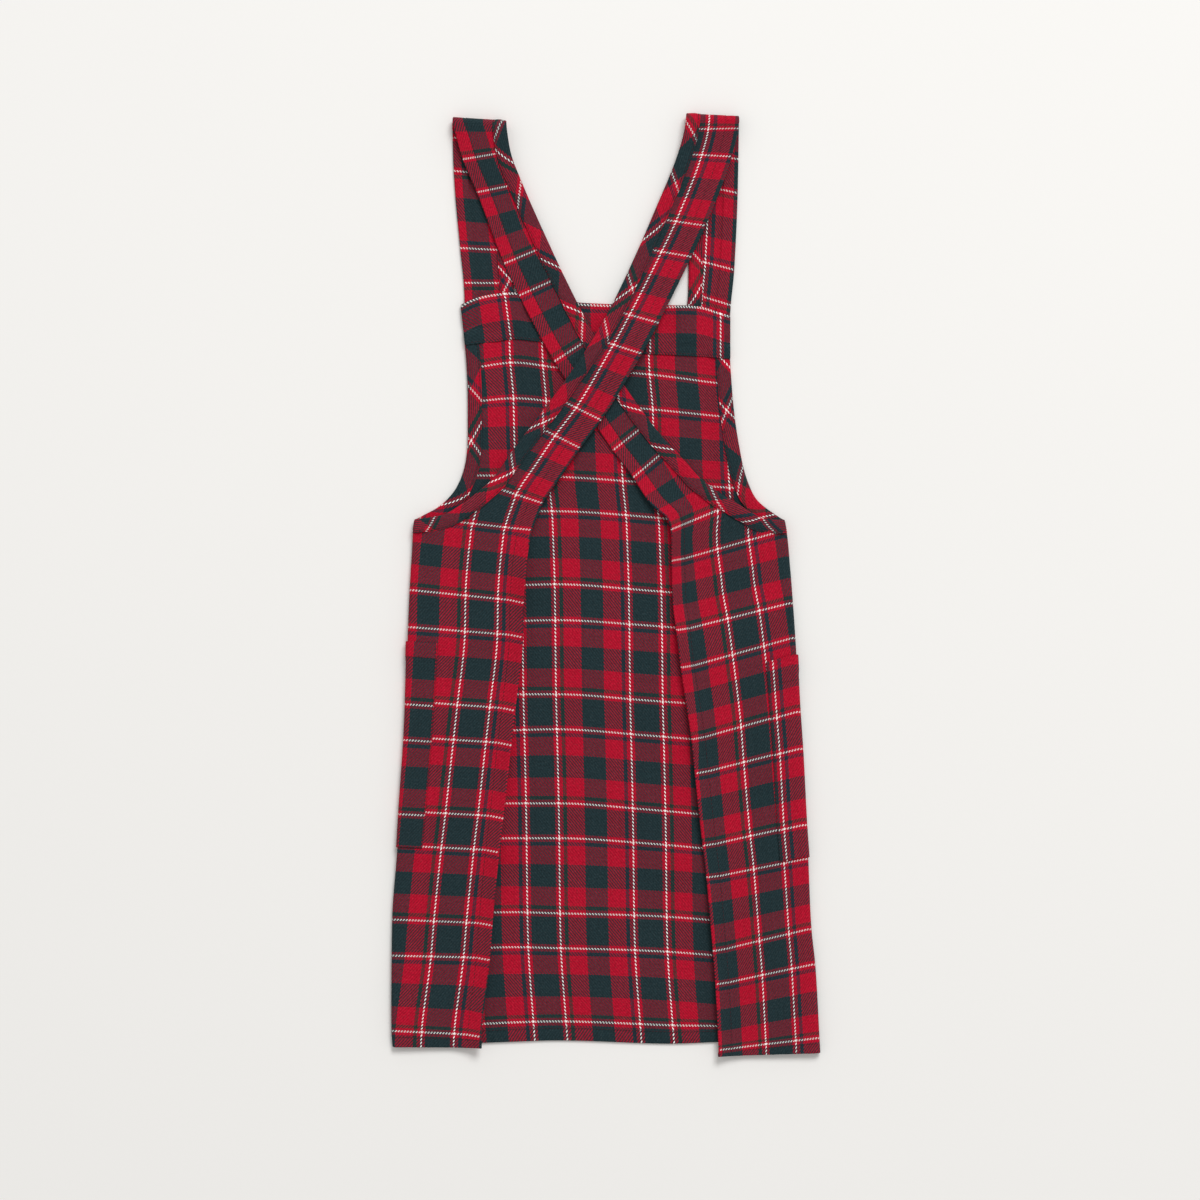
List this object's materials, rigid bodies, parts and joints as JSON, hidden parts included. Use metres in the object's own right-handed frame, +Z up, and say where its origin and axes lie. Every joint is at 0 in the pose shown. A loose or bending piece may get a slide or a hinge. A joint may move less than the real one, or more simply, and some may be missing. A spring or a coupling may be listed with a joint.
{
  "type": "kitchen apron",
  "caption": "Cross-back kitchen apron of tartan twill, laid flat with its side wings folded in and its wide straps crossed behind the bib.",
  "frame": {"origin": "on the table, under the middle of the laid apron's outline", "axes": "+X to the right as it lies with its outer face down, +Y from the hem towards the shoulders, +Z up"},
  "size_m": [0.321, 0.7062, 0.0103],
  "materials": {
    "tartan_cloth": "matt cotton twill woven in a red, dark green and white tartan",
    "bias_binding": "the same tartan twill cut on the bias"
  },
  "bodies": {
    "root": {"front_panel": "tartan_cloth", "bib_facing": "tartan_cloth", "left_wing": "tartan_cloth", "left_strap": "tartan_cloth", "left_binding": "bias_binding", "right_wing": "tartan_cloth", "right_strap": "tartan_cloth", "right_binding": "bias_binding", "left_pocket": "tartan_cloth", "right_pocket": "tartan_cloth"}
  },
  "joints": []
}
